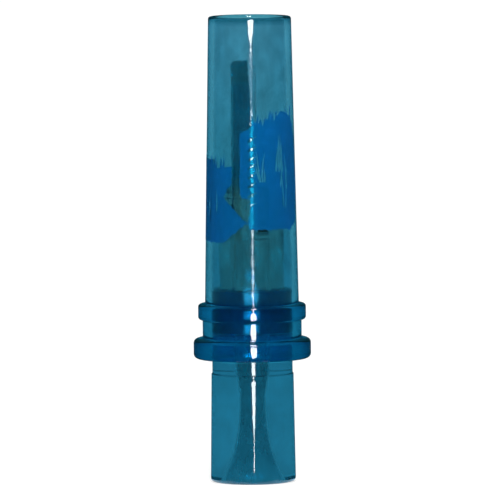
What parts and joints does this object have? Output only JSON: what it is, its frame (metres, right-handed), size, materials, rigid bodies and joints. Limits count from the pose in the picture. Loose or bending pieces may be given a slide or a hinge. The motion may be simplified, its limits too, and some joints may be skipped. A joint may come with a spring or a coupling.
{
  "type": "duck call",
  "caption": "Hand-held clear blue duck call: tapered mouthpiece barrel with a lanyard groove, pulled off a flared stopper that carries a tone board with flexing film reeds.",
  "frame": {"origin": "centre of the bell-end face that the call stands on", "axes": "+Z along the bore from the bell end to the mouthpiece; +X out of the reed side of the tone board"},
  "size_m": [0.032, 0.032, 0.127],
  "materials": {
    "barrel_plastic": "polished clear blue moulded plastic with a printed dark blue patch",
    "stopper_plastic": "polished clear blue moulded plastic",
    "tone_board_plastic": "smoke clear moulded plastic",
    "reed_film": "clear polyester film with cut edges",
    "wedge_cork": "raw cork, cut faces"
  },
  "bodies": {
    "insert": {"exhaust_stopper": "stopper_plastic", "tone_board": "tone_board_plastic", "reed_wedge": "wedge_cork"},
    "barrel": {"barrel": "barrel_plastic"},
    "lower_reed": {"lower_reed": "reed_film"},
    "upper_reed": {"upper_reed": "reed_film"}
  },
  "joints": [
    {"name": "barrel_slide", "type": "slide", "parent": "insert", "child": "barrel", "axis": [0, 0, 1], "range_m": [0, 0.085]},
    {"name": "lower_reed_flex", "type": "hinge", "parent": "insert", "child": "lower_reed", "pos_m": [0.001, 0, 0.0735], "axis": [0, 1, 0], "range_deg": [-1.1, 0.8], "stiffness_Nm_per_rad": 0.016},
    {"name": "upper_reed_flex", "type": "hinge", "parent": "insert", "child": "upper_reed", "pos_m": [0.001, 0, 0.0735], "axis": [0, 1, 0], "range_deg": [-1.1, 0.8], "stiffness_Nm_per_rad": 0.006}
  ],
  "couplings": [
    {"joint": "upper_reed_flex", "follows": "lower_reed_flex", "ratio": 1}
  ]
}
